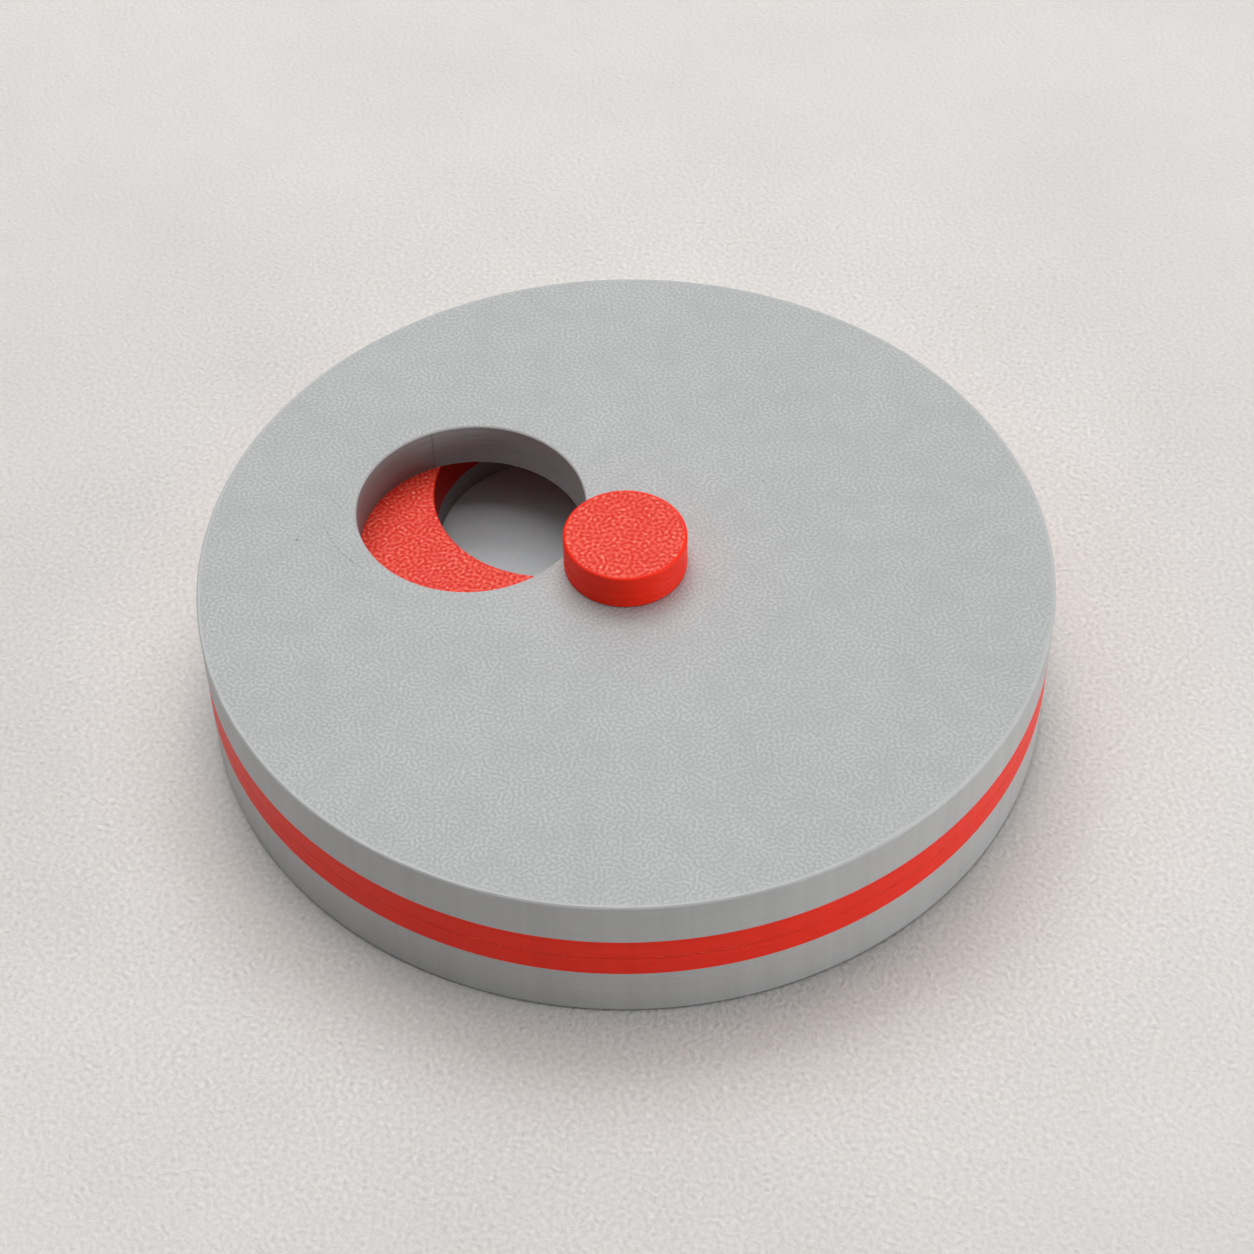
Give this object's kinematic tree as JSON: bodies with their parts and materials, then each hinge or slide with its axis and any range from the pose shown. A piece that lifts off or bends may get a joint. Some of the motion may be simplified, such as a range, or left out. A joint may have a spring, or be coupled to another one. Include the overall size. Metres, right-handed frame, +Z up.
{
  "type": "dealer button",
  "caption": "Round table marker of stacked discs on a central pivot: a windowed grey cover and a red shutter disc turn over a grey base with a shallow round pocket.",
  "frame": {"origin": "centre of the round underside, on the pivot's axis, where the button rests on the table", "axes": "+Z up along the pivot, +X to the right and +Y away from the viewer, with the cover's window to the left and behind the knob"},
  "size_m": [0.076, 0.076, 0.018],
  "materials": {
    "grey_plastic": "satin, textured top face, faint horizontal lines on the sides",
    "red_plastic": "satin, textured top face, faint horizontal lines on the sides",
    "steel": "plain zinc-plated",
    "brass": "turned"
  },
  "bodies": {
    "base": {"base_body": "grey_plastic"},
    "shutter": {"lower_shutter_plate": "red_plastic", "upper_shutter_plate": "red_plastic", "shutter_dowel_front": "steel", "shutter_dowel_left": "steel", "shutter_dowel_right": "steel", "selector_knob": "red_plastic", "threaded_insert": "brass", "retaining_screw": "steel", "retaining_washer": "steel", "wave_washer": "steel"},
    "cover": {"top_cover": "grey_plastic"}
  },
  "joints": [
    {"name": "shutter_turn", "type": "hinge", "parent": "base", "child": "shutter", "pos_m": [0, 0, 0.0054], "axis": [0, 0, 1], "continuous": true},
    {"name": "cover_turn", "type": "hinge", "parent": "base", "child": "cover", "pos_m": [0, 0, 0.0098], "axis": [0, 0, 1], "continuous": true}
  ]
}
